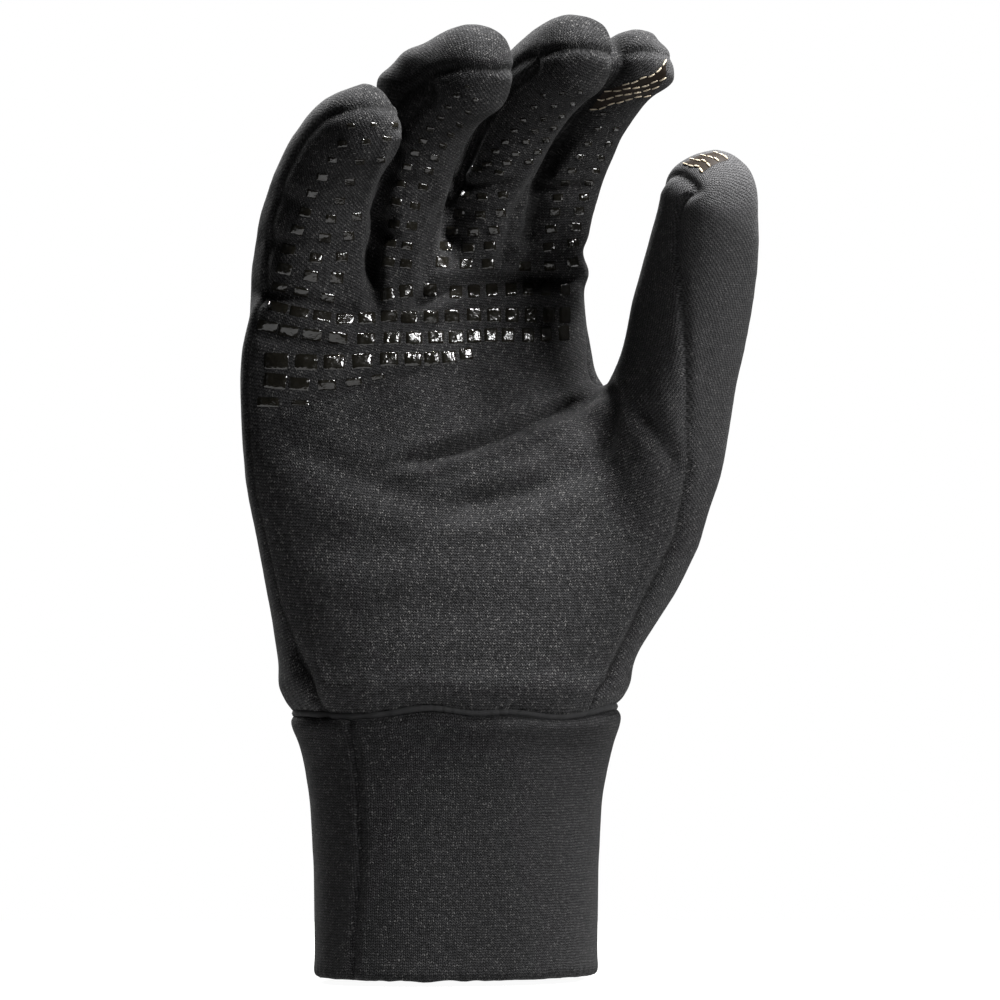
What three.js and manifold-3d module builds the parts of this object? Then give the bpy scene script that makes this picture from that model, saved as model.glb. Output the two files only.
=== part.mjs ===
// A glove liner for the right hand, cut and sewn from thin brushed jersey, in the form it has when worn.
// The palm faces -Y, the fingers point up and curl forward, and the thumb is on the +X side.
// Millimetres, +Z up. The origin is the middle of the cuff's mouth, where the wrist goes in.

import * as THREE from 'three';
import { mergeVertices } from 'three/addons/utils/BufferGeometryUtils.js';
import Module from 'manifold-3d';

const wasm = await Module();
wasm.setup();

// Driving dimensions
const fabricWall = 1.4;
const seamGap = 0.3;
const cuffHeight = 72;
const cuffWidth = 91;
const cuffDepth = 58;
const cuffWall = 2.6;
const handLength = 122;
const palmWidth = 91;
const palmDepth = 40;
const littleLength = 74;
const ringLength = 96;
const middleLength = 99;
const indexLength = 94;
const thumbLength = 75;
const fingerBreadth = 22;
const fingerThickness = 24;
const thumbBreadth = 31;
const thumbThickness = 31;
const fourchetteWidth = 9;

// Mesh fineness
const handRings = 14;
const crownRings = 6;
const outerFineness = { handSegments: 34, digitSegments: 14, digitRings: 12 };
const innerFineness = { handSegments: 26, digitSegments: 10, digitRings: 9 };
const cuffSegments = 36;
const hemSteps = 4;

// Sections of the cuff, from the hem (at 0) to the wrist seam (at 1).
// at is a share of cuffHeight, width of cuffWidth and depth of cuffDepth, both from the middle.
// turn is degrees about Z.
const cuffSections = [
  { at: 0.0, width: 0.419, depth: 0.448, turn: 6 },
  { at: 0.42, width: 0.423, depth: 0.446, turn: 6 },
  { at: 0.67, width: 0.435, depth: 0.446, turn: 7 },
  { at: 0.8, width: 0.453, depth: 0.45, turn: 7 },
  { at: 0.91, width: 0.474, depth: 0.456, turn: 8 },
  { at: 1.0, width: 0.485, depth: 0.458, turn: 8 },
];

// Sections of the hand, from the wrist seam (at 0) to the crown between the fingers (at 1).
// at is a share of handLength, left and right of palmWidth, and front and back of palmDepth.
// turn is degrees about Z, power the superellipse's, and rise how far the section climbs for each millimetre
// across.
// seamLeft and seamRight are how far forward each side seam lies at its edge, as a share of front.
const handSections = [
  { at: 0.0, left: -0.49, right: 0.481, front: 0.66, back: 0.66, turn: 8, power: 2.3, rise: 0.0,
    seamLeft: 0.9, seamRight: 0.5 },
  { at: 0.035, left: -0.508, right: 0.5, front: 0.71, back: 0.68, turn: 9, power: 2.3, rise: 0.0,
    seamLeft: 0.82, seamRight: 0.54 },
  { at: 0.13, left: -0.529, right: 0.543, front: 0.73, back: 0.65, turn: 10, power: 2.4, rise: 0.0,
    seamLeft: 0.62, seamRight: 0.58 },
  { at: 0.24, left: -0.551, right: 0.64, front: 0.72, back: 0.6, turn: 12, power: 2.4, rise: 0.0,
    seamLeft: 0.46, seamRight: 0.62 },
  { at: 0.345, left: -0.576, right: 0.712, front: 0.68, back: 0.56, turn: 14, power: 2.4, rise: 0.0,
    seamLeft: 0.42, seamRight: 0.7 },
  { at: 0.45, left: -0.605, right: 0.735, front: 0.62, back: 0.52, turn: 16, power: 2.5, rise: 0.0,
    seamLeft: 0.42, seamRight: 0.6 },
  { at: 0.56, left: -0.622, right: 0.65, front: 0.57, back: 0.49, turn: 18, power: 2.6, rise: 0.02,
    seamLeft: 0.44, seamRight: 0.5 },
  { at: 0.67, left: -0.63, right: 0.45, front: 0.53, back: 0.46, turn: 20, power: 2.7, rise: 0.06,
    seamLeft: 0.46, seamRight: 0.42 },
  { at: 0.78, left: -0.632, right: 0.395, front: 0.48, back: 0.43, turn: 22, power: 2.8, rise: 0.12,
    seamLeft: 0.48, seamRight: 0.35 },
  { at: 0.88, left: -0.622, right: 0.38, front: 0.43, back: 0.4, turn: 24, power: 2.8, rise: 0.18,
    seamLeft: 0.5, seamRight: 0.3 },
  { at: 1.0, left: -0.585, right: 0.385, front: 0.4, back: 0.36, turn: 25, power: 2.8, rise: 0.25,
    seamLeft: 0.5, seamRight: 0.3 },
];
const crownRound = 12;

// The digits. across is the root's place as a share of palmWidth, up of handLength and ahead of palmDepth.
// Breadth and thickness, at the root and the tip, are shares of fingerBreadth and fingerThickness, or of the
// thumb's.
// turn points the pad to the side of -Y, lean tips the digit towards the thumb, and flex curls it, in
// degrees. bend is the power by which the curl gathers towards the tip.
// sunk is how far the root runs on down into the hand, as a share of length, and flare how much it widens
// there.
// seamInner (on the little finger's side), seamOuter and seamTip are how far towards the pad the side seams
// lie, as shares of half the thickness, and the palm's cloth begins at seamFrom, a share of length.
const digits = [
  {
    name: 'little', length: littleLength, across: -0.44, up: 0.87, ahead: 0.05, turn: 30, lean: -1.5,
    flexRoot: 0, flexTip: 88, bend: 1.15, rootBreadth: 1.32, tipBreadth: 0.92, rootThickness: 1.14,
    tipThickness: 0.84, sunk: 0.3, flare: 0, seamInner: 0.4, seamOuter: 0.35, seamTip: -0.3, seamFrom: -0.12,
  },
  {
    name: 'ring', length: ringLength, across: -0.2, up: 0.87, ahead: 0.02, turn: 32, lean: 0,
    flexRoot: 0, flexTip: 98, bend: 1.4, rootBreadth: 1.02, tipBreadth: 0.94, rootThickness: 1.18,
    tipThickness: 1.0, sunk: 0.3, flare: 0, seamInner: 0.35, seamOuter: 0.35, seamTip: 0, seamFrom: -0.12,
  },
  {
    name: 'middle', length: middleLength, across: 0.03, up: 0.885, ahead: 0.02, turn: 32, lean: 4,
    flexRoot: 0, flexTip: 89, bend: 1.2, rootBreadth: 0.95, tipBreadth: 0.92, rootThickness: 1.08,
    tipThickness: 0.92, sunk: 0.3, flare: 0, seamInner: 0.35, seamOuter: 0.35, seamTip: 0, seamFrom: -0.12,
  },
  {
    name: 'index', length: indexLength, across: 0.24, up: 0.885, ahead: 0.0, turn: 32, lean: 4,
    flexRoot: 0, flexTip: 81, bend: 1.15, rootBreadth: 0.95, tipBreadth: 0.82, rootThickness: 0.98,
    tipThickness: 0.68, sunk: 0.3, flare: 0, seamInner: 0.35, seamOuter: 0.3, seamTip: 0, seamFrom: -0.12,
  },
  {
    name: 'thumb', length: thumbLength, across: 0.617, up: 0.667, ahead: 0.5, turn: -50, lean: 25,
    flexRoot: -1, flexTip: 14, bend: 1, rootBreadth: 1.03, tipBreadth: 0.76, rootThickness: 1.03,
    tipThickness: 0.76, sunk: 0.8, flare: 0.65, seamInner: -0.1, seamOuter: 0.35, seamTip: 0.85,
    seamFrom: -0.55,
  },
];
// How much of its forward tilt a digit keeps where it runs on down into the hand
const sunkTilt = 0.6;
const fourchettes = [
  { name: 'fourchette_ring_little', between: [0, 1] },
  { name: 'fourchette_middle_ring', between: [1, 2] },
  { name: 'fourchette_index_middle', between: [2, 3] },
];
const fourchetteEnd = 0.9;

// Creases on the palm side, seen from the front. Their ends are at shares of palmWidth across and handLength
// up, and depth and width are shares of palmDepth; a negative depth is a ridge.
const palmCreases = [
  { from: [0.45, 0.655], to: [0.0, 0.55], depth: 0.06, width: 0.13 },
  { from: [0.44, 0.61], to: [0.1, 0.47], depth: -0.04, width: 0.16 },
  { from: [-0.58, 0.62], to: [-0.18, 0.72], depth: 0.04, width: 0.12 },
  { from: [-0.05, 0.89], to: [0.38, 0.93], depth: 0.05, width: 0.12 },
];

const rad = THREE.MathUtils.degToRad;

// A table's column at a share between its rows, by a cubic that keeps the rows' slopes
function columnAt(table, column, at) {
  const last = table.length - 2;
  let i = 0;
  while (i < last && at > table[i + 1].at) i += 1;
  const slope = (j) => {
    const low = table[Math.max(j - 1, 0)];
    const high = table[Math.min(j + 1, table.length - 1)];
    return (high[column] - low[column]) / (high.at - low.at);
  };
  const [a, b] = [table[i], table[i + 1]];
  const span = b.at - a.at;
  const t = THREE.MathUtils.clamp((at - a.at) / span, 0, 1);
  const [t2, t3] = [t * t, t * t * t];
  return (2 * t3 - 3 * t2 + 1) * a[column] + (t3 - 2 * t2 + t) * span * slope(i)
    + (3 * t2 - 2 * t3) * b[column] + (t3 - t2) * span * slope(i + 1);
}

// A superellipse's unit point at an angle
function boxyRound(angle, power) {
  const shaped = (v) => Math.sign(v) * Math.abs(v) ** (2 / power);
  return { across: shaped(Math.cos(angle)), out: shaped(Math.sin(angle)) };
}

// The faces between rings of as many points each, the last ring joined to the first where the body is a hoop
function ringFaces(rings, hoop) {
  const count = rings[0].length;
  const faces = [];
  for (let r = 0; r < (hoop ? rings.length : rings.length - 1); r += 1) {
    const [here, above] = [r * count, ((r + 1) % rings.length) * count];
    for (let k = 0; k < count; k += 1) {
      const next = (k + 1) % count;
      faces.push(here + k, here + next, above + next, here + k, above + next, above + k);
    }
  }
  return faces;
}

// A closed body through rings, with a fan over each end
function loft(rings) {
  const count = rings[0].length;
  const middle = (ring) => ring.reduce((sum, p) => sum.add(p), new THREE.Vector3()).divideScalar(count);
  const points = [...rings.flat(), middle(rings[0]), middle(rings.at(-1))];
  const [bottom, top] = [points.length - 2, points.length - 1];
  const end = (rings.length - 1) * count;
  const faces = ringFaces(rings, false);
  for (let k = 0; k < count; k += 1) {
    const next = (k + 1) % count;
    faces.push(bottom, next, k, top, end + k, end + next);
  }
  return new THREE.BufferGeometry().setFromPoints(points).setIndex(faces);
}

// A closed geometry as a solid for joining and cutting, turned the right way out
function solid(geometry) {
  const merged = mergeVertices(geometry);
  const triVerts = new Uint32Array(merged.index.array);
  const vertProperties = new Float32Array(merged.attributes.position.array);
  const made = new wasm.Manifold(new wasm.Mesh({ numProp: 3, vertProperties, triVerts }));
  if (made.volume() > 0) return made;
  return new wasm.Manifold(new wasm.Mesh({ numProp: 3, vertProperties, triVerts: triVerts.reverse() }));
}

const joined = (parts) => parts.reduce((sum, part) => sum.add(part));

// The hand's section at a share of its length: where its middle lies, and its reach each way
function handSection(at) {
  const read = (column) => columnAt(handSections, column, at);
  const [left, right] = [read('left') * palmWidth, read('right') * palmWidth];
  return {
    centre: (left + right) / 2,
    reach: (right - left) / 2,
    front: read('front') * palmDepth,
    back: read('back') * palmDepth,
    slope: Math.tan(rad(read('turn'))),
    power: read('power'),
    rise: read('rise'),
    up: cuffHeight + seamGap + at * handLength,
    seamLeft: read('seamLeft'),
    seamRight: read('seamRight'),
  };
}

// How far a crease draws the palm in at a place seen from the front
function creaseAt(x, z) {
  let depth = 0;
  for (const crease of palmCreases) {
    const [start, end] = [crease.from, crease.to].map(
      ([across, up]) => new THREE.Vector2(across * palmWidth, cuffHeight + up * handLength),
    );
    const along = end.clone().sub(start);
    const place = new THREE.Vector2(x, z).sub(start);
    const share = THREE.MathUtils.clamp(place.dot(along) / along.lengthSq(), 0, 1);
    const away = place.sub(along.multiplyScalar(share)).length() / (crease.width * palmDepth);
    depth += crease.depth * palmDepth * Math.exp(-away * away) * (1 - share ** 3);
  }
  return depth;
}

function handRing(at, inset, segments) {
  const section = handSection(at);
  const intoCrown = Math.max((at - 1) * handLength + crownRound, 0) / (crownRound - inset);
  const round = Math.cbrt(Math.max(1 - intoCrown ** 3, 0));
  return Array.from({ length: segments }, (_, k) => {
    const unit = boxyRound((2 * Math.PI * k) / segments, section.power);
    const x = section.centre + (section.reach - inset) * unit.across;
    const off = x - section.centre;
    const z = section.up + section.rise * off;
    const depth = ((unit.out > 0 ? section.front : section.back) - inset) * Math.max(round, 0.03);
    const crease = creaseAt(x, z) * Math.max(unit.out, 0);
    return new THREE.Vector3(x, section.slope * off - depth * unit.out + crease, z);
  });
}

function handLoft(inset, fineness) {
  const crown = 1 - crownRound / handLength;
  const below = Array.from({ length: handRings }, (_, i) => (crown * i) / handRings);
  const within = Array.from({ length: crownRings }, (_, i) => {
    const climb = 1 - (1 - i / (crownRings - 1)) ** 2.2;
    return crown + (climb * (crownRound - inset)) / handLength;
  });
  const rings = [...below, ...within].map((at) => handRing(at, inset, fineness.handSegments));
  if (inset > 0) {
    const drop = new THREE.Vector3(0, 0, -2 * seamGap - fabricWall);
    rings.unshift(rings[0].map((p) => p.clone().add(drop)));
  }
  return solid(loft(rings));
}

// A digit's frame at a share of its length: the middle, and the ways to its side and towards the pad
function digitFrame(digit, share) {
  const across = new THREE.Vector3(Math.cos(rad(digit.turn)), Math.sin(rad(digit.turn)), 0);
  const up = new THREE.Vector3(0, 0, 1);
  const pad = new THREE.Vector3(Math.sin(rad(digit.turn)), -Math.cos(rad(digit.turn)), 0);
  const along = up.clone().multiplyScalar(Math.cos(rad(digit.lean)));
  along.addScaledVector(across, Math.sin(rad(digit.lean)));
  const side = across.clone().multiplyScalar(Math.cos(rad(digit.lean)));
  side.addScaledVector(up, -Math.sin(rad(digit.lean)));
  const root = handSection(digit.up);
  const x = digit.across * palmWidth;
  const middle = new THREE.Vector3(x, root.slope * (x - root.centre) - digit.ahead * palmDepth, root.up);
  const curl = digit.flexTip - digit.flexRoot;
  const flexAt = (s) => rad(digit.flexRoot + curl * Math.max(s, 0) ** digit.bend);
  const heading = (s) => along.clone().multiplyScalar(Math.cos(flexAt(s)))
    .addScaledVector(pad, Math.sin(flexAt(s)));
  if (share <= 0) {
    const down = heading(0);
    down.y *= sunkTilt;
    middle.addScaledVector(down.normalize(), share * digit.length);
  } else {
    const steps = 24;
    for (let i = 0; i < steps; i += 1) {
      middle.addScaledVector(heading((share * (i + 0.5)) / steps), (share * digit.length) / steps);
    }
  }
  const flex = flexAt(share);
  const towardsPad = pad.clone().multiplyScalar(Math.cos(flex)).addScaledVector(along, -Math.sin(flex));
  return { middle, side, towardsPad };
}

// Half of a digit's breadth and thickness at a share of its length, before its ends are rounded
function digitReach(digit, share) {
  const [breadth, thickness] = digit.name === 'thumb'
    ? [thumbBreadth, thumbThickness] : [fingerBreadth, fingerThickness];
  const taper = THREE.MathUtils.clamp(share, 0, 1) ** 1.4;
  const flared = 1 - digit.flare * Math.min(share, 0);
  return {
    wide: (breadth / 2) * THREE.MathUtils.lerp(digit.rootBreadth, digit.tipBreadth, taper) * flared,
    deep: (thickness / 2) * THREE.MathUtils.lerp(digit.rootThickness, digit.tipThickness, taper) * flared,
  };
}

// How much of its reach a digit keeps at a share of its length: a dome over the tip, and a long round at the
// root
function digitRound(digit, share, inset) {
  const dome = digitReach(digit, 1).wide - inset;
  const fromTip = share * digit.length - (digit.length - inset - dome);
  if (fromTip > 0) return Math.sqrt(Math.max(1 - (fromTip / dome) ** 2, 0));
  return Math.sqrt(1 - 0.95 * Math.max(-share / digit.sunk, 0) ** 3);
}

// A place in a digit's section, out from its middle by millimetres to the side and towards the pad
const placeOn = (frame, aside, ahead) => frame.middle.clone()
  .addScaledVector(frame.side, aside).addScaledVector(frame.towardsPad, ahead);

function digitLoft(digit, inset, fineness) {
  const end = 1 - inset / digit.length;
  const rings = Array.from({ length: fineness.digitRings }, (_, i) => {
    const t = i / (fineness.digitRings - 1);
    const share = -digit.sunk + (end + digit.sunk) * Math.sin((t * Math.PI) / 2) ** 0.85;
    const frame = digitFrame(digit, share);
    const reach = digitReach(digit, share);
    const round = digitRound(digit, share, inset);
    return Array.from({ length: fineness.digitSegments }, (__, k) => {
      const unit = boxyRound((2 * Math.PI * k) / fineness.digitSegments, 2.7);
      const aside = Math.max((reach.wide - inset) * round, 0.05) * unit.across;
      return placeOn(frame, aside, Math.max((reach.deep - inset) * round, 0.05) * unit.out);
    });
  });
  return solid(loft(rings));
}

const skin = (inset, fineness) => joined([
  handLoft(inset, fineness),
  ...digits.map((digit) => digitLoft(digit, inset, fineness)),
]);
const shell = skin(0, outerFineness).subtract(skin(fabricWall, innerFineness));

// What lies in front of the hand's side seams, let out by a gap
function handFront(gap) {
  const rings = [-0.03, ...handSections.map((row) => row.at).slice(1, -1), 1.1 + gap / handLength].map((at) => {
    const section = handSection(at);
    const place = (across, out) => {
      const off = 1.4 * section.reach * across;
      return new THREE.Vector3(
        section.centre + off,
        section.slope * off - 1.4 * section.front * out + gap,
        section.up + section.rise * off,
      );
    };
    const [right, left] = [place(1, section.seamRight), place(-1, section.seamLeft)];
    return [place(0, 0), right, place(1, 3), place(-1, 3), left];
  });
  return solid(loft(rings));
}

// What lies on one side of a digit's seams, the pad's (1) or the other (-1), let out by a gap
function digitSide(digit, way, gap) {
  const shares = Array.from({ length: 11 }, (_, i) => digit.seamFrom + (i / 10) * (1.1 - digit.seamFrom));
  const rings = shares.map((share, i) => {
    const frame = digitFrame(digit, i ? share : share - gap / digit.length);
    const reach = digitReach(digit, share);
    const inner = (digitReach(digit, Math.max(share, 0)).wide + 1.5) * Math.min(1 + share, 1) + gap;
    const outer = reach.wide + 1.5 + gap;
    const seamAt = (root) => THREE.MathUtils.lerp(root, digit.seamTip, share) * reach.deep - way * gap;
    return [
      placeOn(frame, -inner, seamAt(digit.seamInner)),
      placeOn(frame, outer, seamAt(digit.seamOuter)),
      placeOn(frame, outer, 1.8 * way * reach.deep),
      placeOn(frame, -inner, 1.8 * way * reach.deep),
    ];
  });
  return solid(loft(rings));
}

// The wedge between two fingers that holds their fourchette, let out by a gap
function fourchetteWedge(between, gap) {
  const pair = between.map((i) => digits[i]);
  const shares = Array.from({ length: 9 }, (_, i) => -0.1 + (i * (fourchetteEnd + 0.1)) / 8);
  const rings = shares.map((share, i) => {
    const half = (fourchetteWidth / 2) * (1 - 0.6 * Math.max(share, 0) ** 2) + gap;
    const ends = { 0: -gap, 8: gap };
    const [near, far] = pair.map((digit) => digitFrame(digit, share + (ends[i] ?? 0) / digit.length));
    return [placeOn(near, 0, -half), placeOn(far, 0, -half), placeOn(far, 0, half), placeOn(near, 0, half)];
  });
  return solid(loft(rings));
}

const thumb = digits.at(-1);
const front = (gap) => joined([
  handFront(gap).subtract(digitSide(thumb, -1, -gap)),
  ...digits.map((digit) => digitSide(digit, 1, gap)),
]);
const wedges = joined(fourchettes.map((row) => fourchetteWedge(row.between, seamGap)));
const larger = (a, b) => (b.volume() > a.volume() ? b : a);
const wholeOf = (cut) => cut.decompose().reduce(larger);
const palmPanel = wholeOf(shell.intersect(front(0)).subtract(wedges));
const backPanel = wholeOf(shell.subtract(front(seamGap)).subtract(wedges));

// The cuff: a doubled sleeve, folded over at the hem
function cuffBody() {
  const profile = [];
  for (let i = cuffSections.length - 1; i >= 1; i -= 1) profile.push({ at: cuffSections[i].at, inset: 0 });
  for (let i = 0; i <= hemSteps; i += 1) {
    const angle = (i / hemSteps) * Math.PI;
    const up = (cuffWall / 2) * (1 - Math.sin(angle));
    profile.push({ at: up / cuffHeight, inset: (cuffWall / 2) * (1 - Math.cos(angle)) });
  }
  for (let i = 1; i < cuffSections.length; i += 1) profile.push({ at: cuffSections[i].at, inset: cuffWall });
  const rings = profile.map(({ at, inset }) => {
    const read = (column) => columnAt(cuffSections, column, at);
    const slope = Math.tan(rad(read('turn')));
    return Array.from({ length: cuffSegments }, (_, k) => {
      const unit = boxyRound((2 * Math.PI * k) / cuffSegments, 2.3);
      const x = (read('width') * cuffWidth - inset) * unit.across;
      const y = slope * x - (read('depth') * cuffDepth - inset) * unit.out;
      return new THREE.Vector3(x, y, at * cuffHeight);
    });
  });
  const points = rings.flat();
  return solid(new THREE.BufferGeometry().setFromPoints(points).setIndex(ringFaces(rings, true)));
}

function meshOf(name, body, material) {
  const { vertProperties, triVerts } = body.getMesh();
  const geometry = new THREE.BufferGeometry();
  geometry.setAttribute('position', new THREE.BufferAttribute(new Float32Array(vertProperties), 3));
  geometry.setIndex(new THREE.BufferAttribute(new Uint32Array(triVerts), 1));
  const mesh = new THREE.Mesh(geometry, material);
  mesh.name = name;
  return mesh;
}

const jersey = new THREE.MeshStandardMaterial({ color: 0x1c1b1c, roughness: 0.9, metalness: 0 });
const ribbing = new THREE.MeshStandardMaterial({ color: 0x191819, roughness: 0.9, metalness: 0 });

const glove = new THREE.Group();
glove.add(meshOf('palm_panel', palmPanel, jersey));
glove.add(meshOf('back_panel', backPanel, jersey));
for (const row of fourchettes) {
  glove.add(meshOf(row.name, wholeOf(shell.intersect(fourchetteWedge(row.between, 0))), jersey));
}
glove.add(meshOf('cuff', cuffBody(), ribbing));

export default glove;
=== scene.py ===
import math

import bmesh
import bpy
import numpy as np
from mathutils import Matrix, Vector, noise
from mathutils.bvhtree import BVHTree


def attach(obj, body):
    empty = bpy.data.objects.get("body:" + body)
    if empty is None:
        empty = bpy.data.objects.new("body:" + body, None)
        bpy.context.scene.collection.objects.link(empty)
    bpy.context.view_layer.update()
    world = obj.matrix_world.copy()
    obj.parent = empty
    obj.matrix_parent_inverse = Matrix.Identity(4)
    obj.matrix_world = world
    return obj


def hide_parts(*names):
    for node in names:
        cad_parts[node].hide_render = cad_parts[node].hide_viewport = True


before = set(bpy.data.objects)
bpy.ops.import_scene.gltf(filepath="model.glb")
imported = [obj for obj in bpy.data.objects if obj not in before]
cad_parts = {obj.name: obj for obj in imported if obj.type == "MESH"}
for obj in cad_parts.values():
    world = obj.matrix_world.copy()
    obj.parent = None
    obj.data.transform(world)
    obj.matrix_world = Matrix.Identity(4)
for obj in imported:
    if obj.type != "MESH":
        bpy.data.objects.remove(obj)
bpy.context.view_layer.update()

# The glove is held up at the wrist, palm to the viewer and fingers up. It is seen level from the front,
# through a long lens, before plain white.
pixel = 0.00027
distance = 1.8
view_centre = Vector(((500 - 456) * pixel, 0.0, (978 - 500) * pixel))
bpy.ops.object.camera_add(location=view_centre + Vector((0, -distance, 0)), rotation=(math.radians(90), 0, 0))
camera = bpy.context.object
camera.name = "camera"
camera.data.sensor_width = 36.0
camera.data.lens = 36.0 * distance / (1000 * pixel)
camera.data.clip_start = 0.05
camera.data.clip_end = 50.0
bpy.context.scene.camera = camera

bpy.ops.mesh.primitive_plane_add(size=0.5, location=(0, 0, -0.0006))
floor = bpy.context.object
floor.name = "floor"
pale = bpy.data.materials.new("pale_floor")
pale.use_nodes = True
pale_shader = pale.node_tree.nodes["Principled BSDF"]
pale_shader.inputs["Base Color"].default_value = (0.12, 0.12, 0.12, 1)
pale_shader.inputs["Roughness"].default_value = 0.9
pale_shader.inputs["Specular IOR Level"].default_value = 0.1
pale_shader.inputs["Emission Color"].default_value = (1, 1, 1, 1)
pale_shader.inputs["Emission Strength"].default_value = 0.95
floor.data.materials.append(pale)

# The studio is white all round. A soft light high on the right models the palm, one overhead draws the bright
# rims of the fingers, a weak one fills the left and one behind lights the back of the hand.
world = bpy.data.worlds.new("studio")
world.use_nodes = True
sky = world.node_tree
lit = sky.nodes["Background"]
lit.inputs["Color"].default_value = (0.92, 0.96, 1, 1)
lit.inputs["Strength"].default_value = 0.02
plain = sky.nodes.new("ShaderNodeBackground")
plain.inputs["Color"].default_value = (1, 1, 1, 1)
plain.inputs["Strength"].default_value = 1.0
path = sky.nodes.new("ShaderNodeLightPath")
either = sky.nodes.new("ShaderNodeMixShader")
sky.links.new(path.outputs["Is Camera Ray"], either.inputs[0])
sky.links.new(lit.outputs[0], either.inputs[1])
sky.links.new(plain.outputs[0], either.inputs[2])
sky.links.new(either.outputs[0], sky.nodes["World Output"].inputs["Surface"])
bpy.context.scene.world = world
bpy.context.scene.view_settings.view_transform = "Standard"


def softbox(name, place, aim, size, power):
    bpy.ops.object.light_add(type="AREA", location=place)
    light = bpy.context.object
    light.name = name
    light.rotation_euler = (Vector(aim) - Vector(place)).to_track_quat("-Z", "Y").to_euler()
    light.data.shape = "RECTANGLE"
    light.data.size = size[0]
    light.data.size_y = size[1]
    light.data.energy = power


softbox("key_light", (1.5, -0.74, 0.9), (0.02, 0, 0.13), (0.5, 0.5), 50)
softbox("top_light", (0.3, -0.16, 1.3), (0.03, 0, 0.2), (0.35, 0.25), 80)
softbox("left_light", (-1.1, -1.3, 0.5), (0, 0, 0.13), (0.4, 0.9), 0.3)
softbox("back_light", (-0.7, 1.5, 1.0), (0, 0, 0.13), (0.9, 0.7), 55)

# The hand's cloth: thin jersey, pulled on over a hand, so that the cut pieces run together as one skin
# from the wrist to the fingertips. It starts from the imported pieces, let out until their gaps close.
cloth_nodes = [
    "palm_panel", "back_panel", "fourchette_ring_little", "fourchette_middle_ring", "fourchette_index_middle",
]


def mesh_object(name, mesh):
    made = bpy.data.objects.new(name, mesh)
    bpy.context.scene.collection.objects.link(made)
    bpy.ops.object.select_all(action="DESELECT")
    made.select_set(True)
    bpy.context.view_layer.objects.active = made
    return made


def applied(piece, kind, **settings):
    bpy.context.view_layer.objects.active = piece
    modifier = piece.modifiers.new(kind, kind)
    for name, value in settings.items():
        setattr(modifier, name, value)
    bpy.ops.object.modifier_apply(modifier=modifier.name)


joined_within, fine_grid, grid, let_out, taken_in = 0.00002, 0.0007, 0.0008, 0.0012, 0.0011
copies = [mesh_object("copy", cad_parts[name].data.copy()) for name in cloth_nodes]
for copy in copies:
    copy.data.materials.clear()
    copy.select_set(True)
bpy.context.view_layer.objects.active = copies[0]
bpy.ops.object.join()
skin = copies[0]
skin.name = "skin"
applied(skin, "WELD", merge_threshold=joined_within)
applied(skin, "REMESH", mode="VOXEL", voxel_size=fine_grid)
applied(skin, "DISPLACE", strength=let_out, mid_level=0.0)
applied(skin, "REMESH", mode="VOXEL", voxel_size=grid)
applied(skin, "DISPLACE", strength=-taken_in, mid_level=0.0)
applied(skin, "REMESH", mode="VOXEL", voxel_size=grid)

# The cloth is cut off level at the wrist seam, and only its outer face is kept here.
wrist = 0.0730


def coords(mesh):
    flat = np.empty(len(mesh.vertices) * 3, np.float32)
    mesh.vertices.foreach_get("co", flat)
    return flat.reshape(-1, 3).astype(float)


def set_coords(mesh, places):
    mesh.vertices.foreach_set("co", places.astype(np.float32).ravel())
    mesh.update()


def normals(mesh):
    flat = np.empty(len(mesh.vertices) * 3, np.float32)
    mesh.vertex_normals.foreach_get("vector", flat)
    return flat.reshape(-1, 3).astype(float)


def links(mesh):
    pairs = np.empty(len(mesh.edges) * 2, np.int32)
    mesh.edges.foreach_get("vertices", pairs)
    return pairs.reshape(-1, 2)


def averaged(values, pairs):
    """Each vertex's mean over its neighbours."""
    a, b = pairs[:, 0], pairs[:, 1]
    count = len(values)
    share = np.maximum(np.bincount(a, minlength=count) + np.bincount(b, minlength=count), 1)
    if values.ndim == 1:
        total = np.bincount(a, values[b], count) + np.bincount(b, values[a], count)
        return total / share
    return np.stack([averaged(values[:, k], pairs) for k in range(values.shape[1])], 1)


def smoothed(values, pairs, rounds, weight=1.0):
    for _ in range(rounds):
        values = values + 0.6 * (weight if values.ndim == 1 or np.isscalar(weight) else weight[:, None]) * (
            averaged(values, pairs) - values)
    return values


work = bmesh.new()
work.from_mesh(skin.data)
bmesh.ops.bisect_plane(
    work, geom=work.verts[:] + work.edges[:] + work.faces[:], plane_co=(0, 0, wrist), plane_no=(0, 0, -1),
    clear_outer=True, dist=1e-6,
)
bmesh.ops.triangulate(work, faces=work.faces[:])
work.to_mesh(skin.data)
work.free()

pairs = links(skin.data)
label = np.arange(len(skin.data.vertices))
while True:
    new = label.copy()
    lowest = np.minimum(label[pairs[:, 0]], label[pairs[:, 1]])
    np.minimum.at(new, pairs[:, 0], lowest)
    np.minimum.at(new, pairs[:, 1], lowest)
    new = new[new]
    if (new == label).all():
        break
    label = new
names, sizes = np.unique(label, return_counts=True)
largest = names[np.argsort(-sizes)[:2]]
spread = [np.ptp(coords(skin.data)[label == n], axis=0).prod() for n in largest]
outer = largest[int(np.argmax(spread))]
inner = largest[largest != outer][0]
lining = mesh_object("lining_cloth", skin.data.copy())
for piece, kept in ((skin, outer), (lining, inner)):
    work = bmesh.new()
    work.from_mesh(piece.data)
    work.verts.ensure_lookup_table()
    bmesh.ops.delete(work, geom=[v for v in work.verts if label[v.index] != kept], context="VERTS")
    work.to_mesh(piece.data)
    work.free()
applied(lining, "DECIMATE", ratio=0.2)

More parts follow.
